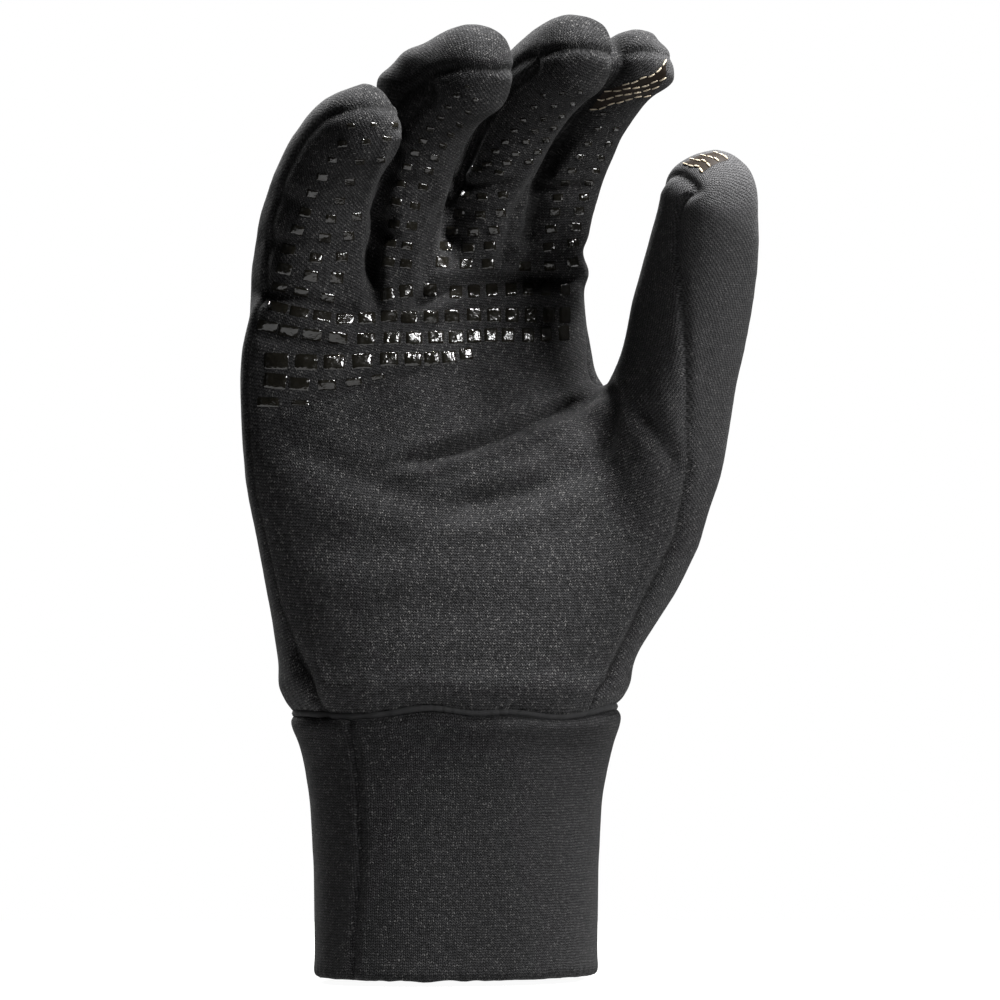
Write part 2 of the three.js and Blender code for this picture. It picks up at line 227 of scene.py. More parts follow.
# A knit rounds every edge of the cut pieces over, so the skin is evened out and then let out again to the
# size of the pieces.
evening_rounds, regain_rounds = 40, 60
pairs = links(skin.data)
cut_shape = coords(skin.data)
rim = cut_shape[:, 2] < wrist + 1e-5
soft = smoothed(cut_shape, pairs, evening_rounds, (~rim).astype(float))
set_coords(skin.data, soft)
away = normals(skin.data)
lost = ((cut_shape - soft) * away).sum(1)
lost = smoothed(lost, pairs, regain_rounds)
set_coords(skin.data, soft + away * lost[:, None])
skin.data.polygons.foreach_set("use_smooth", np.ones(len(skin.data.polygons), bool))

# The folds that the palm shows: each is a line across the picture, in pixels, with its depth and width in
# millimetres, and how much of the depth it starts with. A negative depth is a ridge.
def seen_at(places):
    """Where places show in the picture, in pixels."""
    nearer = distance / (distance + places[:, 1])
    return np.stack([
        500 + (places[:, 0] - view_centre.x) * nearer / pixel,
        500 - (places[:, 2] - view_centre.z) * nearer / pixel,
    ], 1)


def along_line(shown, line):
    """Each place's distance in pixels from a line of points, and how far along the line it lies, from 0 to 1."""
    line = np.array(line, float)
    steps = np.diff(line, axis=0)
    lengths = np.linalg.norm(steps, axis=1)
    start = np.concatenate([[0], np.cumsum(lengths)])[:-1] / lengths.sum()
    best = np.full(len(shown), 1e9)
    where = np.zeros(len(shown))
    for corner, step, length, begin in zip(line[:-1], steps, lengths, start):
        share = np.clip(((shown - corner) @ step) / length ** 2, 0, 1)
        away = np.linalg.norm(shown - corner - share[:, None] * step, axis=1)
        closer = away < best
        best[closer] = away[closer]
        where[closer] = begin + share[closer] * length / lengths.sum()
    return best, where


# The hand in the glove fills it unevenly: a knuckle, the base of a finger or the thumb bears out here and
# there. Each is a centre, a push and a radius in pixels, and the least pixel across that takes part.
fullness = [
    ((385, 80), (-13, -7), 22, 0),
    ((410, 56), (-6, -4), 16, 0),
    ((588, 273), (6, 0), 12, 500),
    ((583, 250), (-3, 0), 9, 500),
    ((612, 350), (6, 0), 38, 599),
    ((758, 205), (-5, 0), 34, 700),
    ((735, 460), (5, 0), 60, 680),
    ((668, 36), (-6, 2), 12, 640),
    ((664, 78), (6, 2), 12, 640),
]
palm_folds = [
    ([(606, 392), (585, 402), (560, 411), (520, 428), (470, 446), (425, 458), (380, 466)], 2.3, 1.9, 0.08),
    ([(560, 392), (530, 404), (500, 416), (460, 432), (420, 443)], -2.0, 6.5, 0.0),
    ([(398, 150), (388, 175), (378, 205), (374, 235), (372, 262), (375, 290)], 2.2, 1.6, 1),
    ([(600, 408), (575, 428), (540, 446), (500, 462), (450, 478)], -0.8, 4.5, 1),
    ([(611, 398), (612, 414), (608, 440), (600, 462)], 1.7, 2.0, 0.3),
    ([(640, 396), (655, 425), (668, 450), (684, 480)], 1.8, 2.8, 0),
    ([(655, 400), (672, 440), (690, 470)], -0.7, 3.0, 0),
    ([(600, 462), (560, 480), (520, 494), (480, 504), (430, 512)], 2.0, 3.6, 0),
    ([(248, 428), (275, 436), (312, 452), (350, 472), (400, 492), (440, 506)], 1.2, 4.0, 0),
    ([(262, 520), (310, 540), (370, 548), (430, 545)], 0.7, 5.0, 0),
    ([(330, 620), (400, 606), (480, 610), (560, 596)], 0.5, 6.0, 0),
    ([(262, 408), (300, 405), (340, 392), (400, 377), (440, 368)], 1.2, 2.4, 0),
    ([(256, 292), (275, 296), (300, 300), (330, 308), (362, 312)], 1.7, 2.0, 0.3),
    ([(252, 330), (280, 340), (310, 347), (350, 350)], 1.3, 2.0, 0.2),
    ([(256, 312), (285, 318), (315, 326), (350, 334)], -0.9, 2.0, 0),
    ([(420, 300), (440, 290), (455, 286), (480, 282), (530, 278), (588, 276)], 2.2, 2.0, 1),
    ([(430, 308), (470, 302), (520, 300), (583, 302)], -0.8, 3.0, 1),
    ([(385, 330), (400, 318), (420, 305), (436, 296)], 1.6, 2.0, 0),
    ([(376, 235), (372, 262), (374, 290), (382, 325)], 2.0, 2.2, 0),
    ([(384, 214), (383, 228), (388, 242)], 3.0, 2.2, 0),
    ([(396, 196), (402, 214), (398, 236)], -1.6, 3.4, 0),
    ([(424, 300), (426, 270), (432, 240), (446, 205), (460, 182)], 1.1, 1.8, 0),
    ([(456, 184), (482, 187), (516, 181)], 1.6, 1.5, 0),
    ([(446, 198), (480, 203), (508, 198)], -0.8, 2.2, 1),
    ([(448, 237), (468, 240), (500, 233)], 0.9, 1.8, 0),
    ([(504, 256), (512, 220), (530, 190), (556, 152), (580, 124)], 1.8, 1.8, 1),
    ([(534, 186), (565, 190), (606, 184)], 1.6, 1.6, 0),
    ([(528, 205), (560, 208), (598, 204)], -0.6, 2.2, 1),
    ([(520, 236), (550, 240), (590, 234)], 1.0, 1.8, 1),
    ([(396, 178), (420, 184), (440, 180)], 1.0, 1.8, 1),
    ([(276, 196), (320, 206), (366, 200)], 0.8, 2.4, 0.3),
    ([(264, 240), (310, 248), (354, 246)], 1.0, 2.2, 0.3),
    ([(262, 266), (300, 270), (350, 276)], -0.7, 2.2, 0.2),
    ([(296, 640), (306, 668), (322, 702)], 1.3, 1.8, 0),
]


def worn(places, facing):
    """The places of cloth that is filled out and folded by the hand."""
    places = places.copy()
    shown = seen_at(places)
    for centre, shift, radius, least in fullness:
        share = np.exp(-((shown - np.array(centre)) ** 2).sum(1) / radius ** 2)
        if least:
            share *= 1 / (1 + np.exp(-(shown[:, 0] - least) / 2.0))
        places[:, 0] += share * shift[0] * pixel
        places[:, 2] -= share * shift[1] * pixel
    shown = seen_at(places)
    front = np.clip(-facing[:, 1] * 2.5, 0, 1)
    push = np.zeros(len(places))
    for line, depth, width, start in palm_folds:
        off, share = along_line(shown, line)
        off = off * pixel * 1000 / width
        taper = np.clip(np.minimum(share + start / 4, 1 - share) * 4 + 0.12, 0, 1)
        push -= depth * taper * np.exp(-off ** 2)
        push += 0.35 * depth * taper * np.exp(-(off - 1.9) ** 2)
    way = facing + np.array([0.0, -0.8, 0.0]) * (push < 0)[:, None]
    way /= np.linalg.norm(way, axis=1, keepdims=True) + 1e-9
    return places + way * (push * front * 0.001)[:, None]


unfolded = coords(skin.data)
facing = normals(skin.data)
set_coords(skin.data, worn(unfolded, facing))
set_coords(lining.data, worn(coords(lining.data), -normals(lining.data)))

# Side seams: the palm's cloth and the back's meet edge to edge and roll in, and so do the narrow strips
# between the fingers.
def tree_of(mesh):
    points = [v.co.copy() for v in mesh.vertices]
    return BVHTree.FromPolygons(points, [tuple(p.vertices) for p in mesh.polygons])


places = unfolded
trees = [tree_of(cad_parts[name].data) for name in cloth_nodes]
gap = np.array([[tree.find_nearest(place)[3] for tree in trees] for place in places.tolist()])
gap = np.stack([smoothed(gap[:, k], pairs, 14) for k in range(len(cloth_nodes))], 1)
strip_reach = (0.0, 0.0, -0.0003, -0.0005, 0.003)
gap = gap - np.array(strip_reach)
thumb_seam = [
    (560, 716), (606, 683), (648, 595), (678, 536), (689, 461), (686, 354), (683, 300), (675, 252), (678, 212),
    (690, 185),
]
shown = seen_at(coords(skin.data))
off, _ = along_line(shown, thumb_seam)
ys = np.array([y for _, y in thumb_seam], float)[::-1]
xs = np.array([x for x, _ in thumb_seam], float)[::-1]
off *= np.sign(shown[:, 0] - np.interp(shown[:, 1], ys, xs)) * pixel
inside = (shown[:, 0] > 590) & (shown[:, 1] > 196) & (shown[:, 1] < 712) & (facing[:, 1] < 0.35)
inside &= (shown[:, 0] > 640) | (shown[:, 1] > 560)
gap[inside, 0] = np.maximum(off[inside], 0) + 0.0005
gap[inside, 1] = np.maximum(-off[inside], 0) + 0.0005
for k in (0, 1):
    gap[:, k] = smoothed(gap[:, k], pairs, 6)
owner = gap.argmin(1)
ordered = np.sort(gap, 1)
seam = ordered[:, 1] - ordered[:, 0]

places = coords(skin.data)
facing = normals(skin.data)
groove_depth, groove_width, ridge_height, ridge_off, ridge_width = 0.95, 0.0012, 0.12, 0.003, 0.0014
wander = np.array([noise.noise(Vector(p) * 90) for p in places.tolist()])
groove = -groove_depth * np.exp(-(seam / groove_width) ** 2)
groove += ridge_height * np.exp(-((seam - ridge_off) / ridge_width) ** 2)
crumple = 0.35 * np.array([noise.noise(Vector(p) * 160) for p in places.tolist()])
near_seam = np.exp(-(seam / 0.005) ** 2)
little_side = (shown[:, 0] < 330) & (shown[:, 1] < 640)
faint = np.where(little_side, 0.4, np.where(shown[:, 1] < 135, 0.6, 1.0))
faint = smoothed(faint, pairs, 10)
push = groove * faint + 0.22 * wander + 0.5 * near_seam * crumple
set_coords(skin.data, places + facing * (push * 0.001)[:, None])

# At the wrist the cloth puffs out over the seam and rolls in under it, a little gathered.
def waist(turn):
    """How far the waist seam wanders up or down, in metres, round the wrist."""
    return 0.0009 * np.sin(turn * 3 + 0.4) + 0.0006 * np.sin(turn * 7 + 2.0)


def gathered(places, facing):
    """The places of cloth that is sewn in at the wrist."""
    around = np.arctan2(places[:, 1], places[:, 0])
    height = np.clip((places[:, 2] - wrist) * 1000, 0, 40)
    gathers = np.sin(around * 61 + 3 * np.sin(around * 7)) * (0.6 + 0.4 * np.sin(around * 11 + 1))
    roll = -1.1 * np.clip(1 - height / 3.0, 0, 1) ** 2.2 + 0.9 * np.exp(-((height - 6.0) / 4.0) ** 2)
    roll += 0.2 * gathers * np.exp(-height / 4.5)
    level = facing.copy()
    level[:, 2] = 0
    level /= np.linalg.norm(level, axis=1, keepdims=True) + 1e-9
    near = (height < 20)[:, None]
    places = places + near * level * (roll * 0.001)[:, None]
    places[:, 2] += waist(around) * np.exp(-height / 5)
    return places


set_coords(skin.data, gathered(coords(skin.data), normals(skin.data)))
set_coords(lining.data, gathered(coords(lining.data), -normals(lining.data)))
lining.data.polygons.foreach_set("use_smooth", np.ones(len(lining.data.polygons), bool))

# Each cut piece becomes an object of its own. The corners nearest to a seam are first moved onto it, so that
# the cloth parts along an even line.
places = coords(skin.data)
a, b = pairs[:, 0], pairs[:, 1]
cross = owner[a] != owner[b]
a, b = a[cross], b[cross]
from_a = gap[a, owner[b]] - gap[a, owner[a]]
from_b = gap[b, owner[a]] - gap[b, owner[b]]
share = from_a / np.maximum(from_a + from_b, 1e-9)
step = places[b] - places[a]
moves = np.concatenate([share, 1 - share])
movers = np.concatenate([a, b])
goals = np.concatenate([places[a] + step * share[:, None]] * 2)
fine = moves <= 0.5
moves, movers, goals = moves[fine], movers[fine], goals[fine]
order = np.argsort(-moves)
places[movers[order]] = goals[order]
on_seam = np.zeros(len(places), bool)
on_seam[movers] = True
corners = np.empty(len(skin.data.polygons) * 3, np.int32)
skin.data.polygons.foreach_get("vertices", corners)
corners = corners.reshape(-1, 3)
votes = np.zeros((len(corners), len(cloth_nodes)))
for k in range(3):
    v = corners[:, k]
    np.add.at(votes, (np.arange(len(corners)), owner[v]), np.where(on_seam[v], 0.0, 1.0))
    votes -= 0.1 * gap[v]
belongs = votes.argmax(1)

panels = []
for k, name in enumerate(cloth_nodes):
    faces = corners[belongs == k]
    used, local = np.unique(faces, return_inverse=True)
    mesh = bpy.data.meshes.new(name + "_cloth")
    mesh.from_pydata(places[used].tolist(), [], local.reshape(-1, 3).tolist())
    mesh.polygons.foreach_set("use_smooth", np.ones(len(mesh.polygons), bool))
    seen = seen_at(places[used])
    # Painted highlight: the thumb's right side, and its tip most of all, is painted paler, standing in for the light
    # that falls there.
    tip = 1 / (1 + np.exp((seen[:, 1] - 214 - (seen[:, 0] - 715) * 0.43) / 2.5))
    thumb = 1 / (1 + np.exp(-(seen[:, 0] - 655) / 12)) / (1 + np.exp((seen[:, 1] - 480) / 40))
    mesh.attributes.new("painted_thumb_light", "FLOAT", "POINT")
    mesh.attributes["painted_thumb_light"].data.foreach_set("value", (thumb * (0.42 + 0.38 * tip)).astype(np.float32))
    # Painted shade: the colour is darkened along the seams, standing in for the shade in the grooves where the
    # pieces roll in.
    mesh.attributes.new("painted_seam_shade", "FLOAT", "POINT")
    painted_seam_shade = np.exp(-(seam[used] / 0.0007) ** 2)
    mesh.attributes["painted_seam_shade"].data.foreach_set("value", painted_seam_shade.astype(np.float32))
    panel = mesh_object(name + "_cloth", mesh)
    panels.append(panel)
bpy.data.objects.remove(skin)

# Knit lies flat before it is sewn, so each piece is laid out flat again, by way of a coarse copy, to know
# which way its wales run.
def laid_flat(panel, faces):
    """The panel's corners laid flat, in millimetres, with the wales along the second axis."""
    coarse = mesh_object("coarse", panel.data.copy())
    applied(coarse, "DECIMATE", ratio=min(faces / len(coarse.data.polygons), 1.0))
    coarse.data.uv_layers.new(name="cut")
    bpy.ops.object.mode_set(mode="EDIT")
    bpy.ops.mesh.select_all(action="SELECT")
    bpy.ops.uv.unwrap(method="MINIMUM_STRETCH", iterations=20, margin=0.0)
    bpy.ops.object.mode_set(mode="OBJECT")
    mesh = coarse.data
    flat = np.empty(len(mesh.loops) * 2, np.float32)
    mesh.uv_layers["cut"].data.foreach_get("uv", flat)
    flat = flat.reshape(-1, 3, 2).astype(float)
    index = np.empty(len(mesh.loops), np.int32)
    mesh.loops.foreach_get("vertex_index", index)
    place = coords(mesh)[index].reshape(-1, 3, 3)
    tree = tree_of(mesh)
    fine = coords(panel.data)
    hit = np.array([tree.find_nearest(point)[2] for point in fine.tolist()])
    bpy.data.objects.remove(coarse)

    origin = place[:, 0]
    side_one, side_two = place[:, 1] - origin, place[:, 2] - origin
    flat_one, flat_two = flat[:, 1] - flat[:, 0], flat[:, 2] - flat[:, 0]
    true_size = np.linalg.norm(np.cross(side_one, side_two), axis=1).sum()
    flat_size = np.abs(flat_one[:, 0] * flat_two[:, 1] - flat_one[:, 1] * flat_two[:, 0]).sum()
    within = fine - origin[hit]
    one_one = (side_one * side_one).sum(1)[hit]
    one_two = (side_one * side_two).sum(1)[hit]
    two_two = (side_two * side_two).sum(1)[hit]
    with_one = (within * side_one[hit]).sum(1)
    with_two = (within * side_two[hit]).sum(1)
    whole = one_one * two_two - one_two ** 2 + 1e-18
    share_one = np.clip((two_two * with_one - one_two * with_two) / whole, -0.5, 1.5)
    share_two = np.clip((one_one * with_two - one_two * with_one) / whole, -0.5, 1.5)
    laid = flat[hit, 0] + share_one[:, None] * flat_one[hit] + share_two[:, None] * flat_two[hit]
    laid = smoothed(laid * 1000 * math.sqrt(true_size / flat_size), links(panel.data), 12)
    slope = np.linalg.lstsq(laid - laid.mean(0), fine[:, 2] - fine[:, 2].mean(), rcond=None)[0]
    slope /= np.linalg.norm(slope)
    return np.stack([laid @ np.array([slope[1], -slope[0]]), laid @ slope], 1)


def set_flat(mesh, laid):
    index = np.empty(len(mesh.loops), np.int32)
    mesh.loops.foreach_get("vertex_index", index)
    mesh.uv_layers.new(name="cut")
    mesh.uv_layers["cut"].data.foreach_set("uv", laid[index].astype(np.float32).ravel())


for panel, faces in zip(panels, (4000, 4000, 500, 500, 500)):
    set_flat(panel.data, laid_flat(panel, faces))

# Fine brushed jersey, near black: columns of V-shaped loops three quarters of a millimetre apart, each loop a
# little lighter or darker than the next, with pale fibre ends here and there.
class Graph:
    """A material's nodes, added one after another."""

    def __init__(self, name):
        self.material = bpy.data.materials.new(name)
        self.material.use_nodes = True
        self.tree = self.material.node_tree
        self.shader = self.tree.nodes["Principled BSDF"]

    def feed(self, socket, value):
        if hasattr(value, "is_output"):
            self.tree.links.new(value, socket)
        else:
            socket.default_value = value

    def math(self, kind, *values):
        node = self.tree.nodes.new("ShaderNodeMath")
        node.operation = kind
        for socket, value in zip(node.inputs, values):
            self.feed(socket, value)
        return node.outputs[0]

    def ramp(self, value, *bounds):
        node = self.tree.nodes.new("ShaderNodeMapRange")
        for socket, bound in zip(node.inputs, (value, *bounds)):
            self.feed(socket, bound)
        return node.outputs[0]

    def join(self, x, y, z=0.0):
        node = self.tree.nodes.new("ShaderNodeCombineXYZ")
        for socket, value in zip(node.inputs, (x, y, z)):
            self.feed(socket, value)
        return node.outputs[0]

    def noise(self, vector, scale, detail=2.0):
        node = self.tree.nodes.new("ShaderNodeTexNoise")
        node.inputs["Scale"].default_value = scale
        node.inputs["Detail"].default_value = detail
        self.feed(node.inputs["Vector"], vector)
        return node.outputs["Fac"]

    def speck(self, vector):
        node = self.tree.nodes.new("ShaderNodeTexWhiteNoise")
        node.noise_dimensions = "2D"
        self.feed(node.inputs["Vector"], vector)
        return node.outputs["Value"]

    def blend(self, share, one, two):
        node = self.tree.nodes.new("ShaderNodeMix")
        node.data_type = "RGBA"
        for socket, value in zip((node.inputs[0], node.inputs[6], node.inputs[7]), (share, one, two)):
            self.feed(socket, value)
        return node.outputs[2]

    def bump(self, height, strength, depth):
        node = self.tree.nodes.new("ShaderNodeBump")
        node.inputs["Strength"].default_value = strength
        node.inputs["Distance"].default_value = depth
        self.feed(node.inputs["Height"], height)
        self.tree.links.new(node.outputs[0], self.shader.inputs["Normal"])

    def source(self, kind, output):
        return self.tree.nodes.new(kind).outputs[output]


def knit(name, wale, course, dark, light, fleck):
    g = Graph(name)
    cut = g.tree.nodes.new("ShaderNodeUVMap")
    cut.uv_map = "cut"
    split = g.tree.nodes.new("ShaderNodeSeparateXYZ")
    g.tree.links.new(cut.outputs[0], split.inputs[0])
    place = g.source("ShaderNodeTexCoord", "Object")
    drift = g.math("MULTIPLY", g.math("SUBTRACT", g.noise(place, 260.0), 0.5), 0.9)
    across = g.math("DIVIDE", g.math("ADD", split.outputs[0], drift), wale)
    centre = g.math("MULTIPLY", g.math("PINGPONG", across, 0.5), 2.0)
    uneven = g.math("MULTIPLY", g.math("SUBTRACT", g.noise(place, 1300.0), 0.5), 1.1)
    phase = g.math("ADD", g.math("ADD", g.math("DIVIDE", g.math("ADD", split.outputs[1], drift), course),
                                 g.math("MULTIPLY", centre, 0.55)), uneven)
    round_leg = g.math("SUBTRACT", 1.0, g.math("POWER", g.math("ABSOLUTE", g.math(
        "SUBTRACT", g.math("MULTIPLY", centre, 2.0), 1.0)), 2.0))
    yarn = g.math("ADD", g.math("MULTIPLY", g.math("SINE", g.math("MULTIPLY", phase, 2 * math.pi)), 0.38), 0.62)
    loop = g.math("MULTIPLY", g.math("ADD", g.math("MULTIPLY", round_leg, 0.8), 0.2), yarn)
    cell = g.join(g.math("FLOOR", g.math("ADD", across, 0.5)), g.math("FLOOR", phase))
    own = g.speck(cell)
    leg = g.speck(g.join(g.math("FLOOR", g.math("MULTIPLY", across, 2.0)), g.math("FLOOR", phase), 3.0))
    fuzz = g.noise(place, 2600.0, 3.0)
    shade = g.math("MULTIPLY", g.math("ADD", loop, g.math("MULTIPLY", fuzz, 0.3)),
                   g.math("ADD", g.math("MULTIPLY", own, 0.5), 0.65))
    colour = g.blend(g.ramp(shade, 0.2, 1.0), dark, light)
    ends = g.math("MULTIPLY", g.ramp(leg, 0.76, 1.0), g.ramp(loop, 0.3, 0.9))
    colour = g.blend(g.math("MULTIPLY", ends, 0.7), colour, fleck)
    if name == "jersey":
        # Painted shade along the seams: near black is blended in where the seam grooves lie.
        painted_seam_shade = g.tree.nodes.new("ShaderNodeAttribute")
        painted_seam_shade.attribute_name = "painted_seam_shade"
        colour = g.blend(g.math("MULTIPLY", painted_seam_shade.outputs["Fac"], 0.75), colour, (0.002, 0.002, 0.002, 1))
        # Painted highlight on the thumb: its raised loops are blended towards pale grey, more towards the tip, in
        # place of light falling on them.
        painted_thumb_light = g.tree.nodes.new("ShaderNodeAttribute")
        painted_thumb_light.attribute_name = "painted_thumb_light"
        thumb_light_share = g.math("MULTIPLY", painted_thumb_light.outputs["Fac"], g.ramp(loop, 0.0, 0.8))
        colour = g.blend(thumb_light_share, colour, (0.092, 0.091, 0.093, 1))
    g.tree.links.new(colour, g.shader.inputs["Base Color"])
    g.bump(g.math("ADD", loop, g.math("MULTIPLY", fuzz, 0.7)), 0.8, 0.00022)
    g.shader.inputs["Roughness"].default_value = 0.85
    g.shader.inputs["Specular IOR Level"].default_value = 0.08
    g.shader.inputs["Sheen Weight"].default_value = 0.03
    g.shader.inputs["Sheen Roughness"].default_value = 0.5
    return g.material


jersey = knit(
    "jersey", wale=0.78, course=0.8, dark=(0.001, 0.001, 0.0011, 1), light=(0.033, 0.0326, 0.0336, 1),
    fleck=(0.15, 0.146, 0.142, 1),
)
for panel in panels:
    panel.data.materials.append(jersey)
for panel, name in zip(panels, cloth_nodes):
    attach(panel, "root")
    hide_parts(name)

# The inner face is brushed up into a short fleece.
g = Graph("fleece")
place = g.source("ShaderNodeTexCoord", "Object")
nap = g.noise(place, 1500.0, 4.0)
g.tree.links.new(g.blend(nap, (0.006, 0.006, 0.0065, 1), (0.04, 0.0395, 0.0405, 1)), g.shader.inputs["Base Color"])
g.bump(nap, 0.8, 0.0005)
g.shader.inputs["Roughness"].default_value = 0.9
g.shader.inputs["Specular IOR Level"].default_value = 0.08
lining.data.materials.append(g.material)
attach(lining, "root")

# The cuff is a sleeve of the same jersey, doubled and folded over at the hem, with one side seam. Its wales
# run up the arm.
cuff = mesh_object("cuff_cloth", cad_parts["cuff"].data.copy())
cuff.data.materials.clear()
applied(cuff, "REMESH", mode="VOXEL", voxel_size=0.0009)
applied(cuff, "TRIANGULATE")
cuff_pairs = links(cuff.data)
rough = coords(cuff.data)
even = smoothed(rough, cuff_pairs, 25)
set_coords(cuff.data, even)
away = normals(cuff.data)
kept = smoothed(((rough - even) * away).sum(1), cuff_pairs, 30)
even = even + away * kept[:, None]
set_coords(cuff.data, even)
away = normals(cuff.data)
level = away.copy()
level[:, 2] = 0
outside = np.clip((even[:, :2] * away[:, :2]).sum(1) / (np.linalg.norm(even[:, :2], axis=1) + 1e-9) * 2, 0, 1)
shown = seen_at(even)
off, _ = along_line(shown, [(350, 718), (357, 760), (362, 850), (360, 880), (355, 930), (352, 985)])
off = off * pixel * 1000
front = np.clip(-away[:, 1] * 3, 0, 1)
high = even[:, 2] * 1000
around = np.arctan2(even[:, 1], even[:, 0])
push = front * (-0.8 * np.exp(-(off / 0.9) ** 2) + 0.25 * np.exp(-((off - 2.2) / 1.3) ** 2))
push -= 0.9 * np.exp(-((high - 72.5) / 1.6) ** 2) - 0.8 * np.exp(-((high - 69) / 4.0) ** 2)
push += 0.3 * np.sin(around * 5 + 0.6) * np.exp(-((high - 62) / 9) ** 2)
push += 0.35 * np.array([noise.noise(Vector((p[0] * 60, p[1] * 60, p[2] * 18))) for p in even.tolist()])
push += 0.12 * np.exp(-((high - 2.5) / 2.0) ** 2) * np.sin(around * 90)
even = even + level * (push * outside * 0.001)[:, None]
even[:, 2] += waist(around) * np.exp(-(72.5 - high) / 5)
set_coords(cuff.data, even)
cuff.data.polygons.foreach_set("use_smooth", np.ones(len(cuff.data.polygons), bool))

steps = np.linspace(-math.pi, math.pi, 721)
ring = np.stack([38.5 * np.cos(steps), 25.0 * np.sin(steps)], 1)
arc = np.concatenate([[0], np.cumsum(np.linalg.norm(np.diff(ring, axis=0), axis=1))])
joint = math.atan2(-21.0 / 25.0, -27.0 / 38.5)
turn = np.mod(np.arctan2(even[:, 1] / 25.0, even[:, 0] / 38.5) - joint, 2 * math.pi)
index = np.empty(len(cuff.data.loops), np.int32)
cuff.data.loops.foreach_get("vertex_index", index)
turn = turn[index].reshape(-1, 3)
turn[(np.ptp(turn, axis=1) > 3)[:, None] & (turn < 3)] += 2 * math.pi
length = np.interp(turn, steps + math.pi, arc)
length += np.where(turn > 2 * math.pi, arc[-1] * (turn - 2 * math.pi) / (2 * math.pi), 0)
cuff.data.uv_layers.new(name="cut")
cuff.data.uv_layers["cut"].data.foreach_set(
    "uv", np.stack([length.ravel(), high[index]], 1).astype(np.float32).ravel())

cuff_jersey = knit(
    "cuff_jersey", wale=0.72, course=0.74, dark=(0.0012, 0.0012, 0.0013, 1), light=(0.0195, 0.0193, 0.02, 1),
    fleck=(0.075, 0.0735, 0.072, 1),
)
cuff.data.materials.append(cuff_jersey)
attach(cuff, "root")
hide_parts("cuff")

# Grip print: small pads of dark glossy silicone, in rows across the palm under the fingers and up each
# finger, smaller towards the tips. Rows are read across the picture, in pixels.
body = BVHTree.FromPolygons(places.tolist(), corners.tolist())
eye = Vector((view_centre.x, -distance, view_centre.z))


def cast(x, y):
    """Where the sight line through a pixel meets the cloth, and the way the cloth faces there."""
    aim = Vector((view_centre.x + (x - 500) * pixel, 0.0, view_centre.z + (500 - y) * pixel)) - eye
    point, facing, _, _ = body.ray_cast(eye, aim.normalized())
    return point, facing


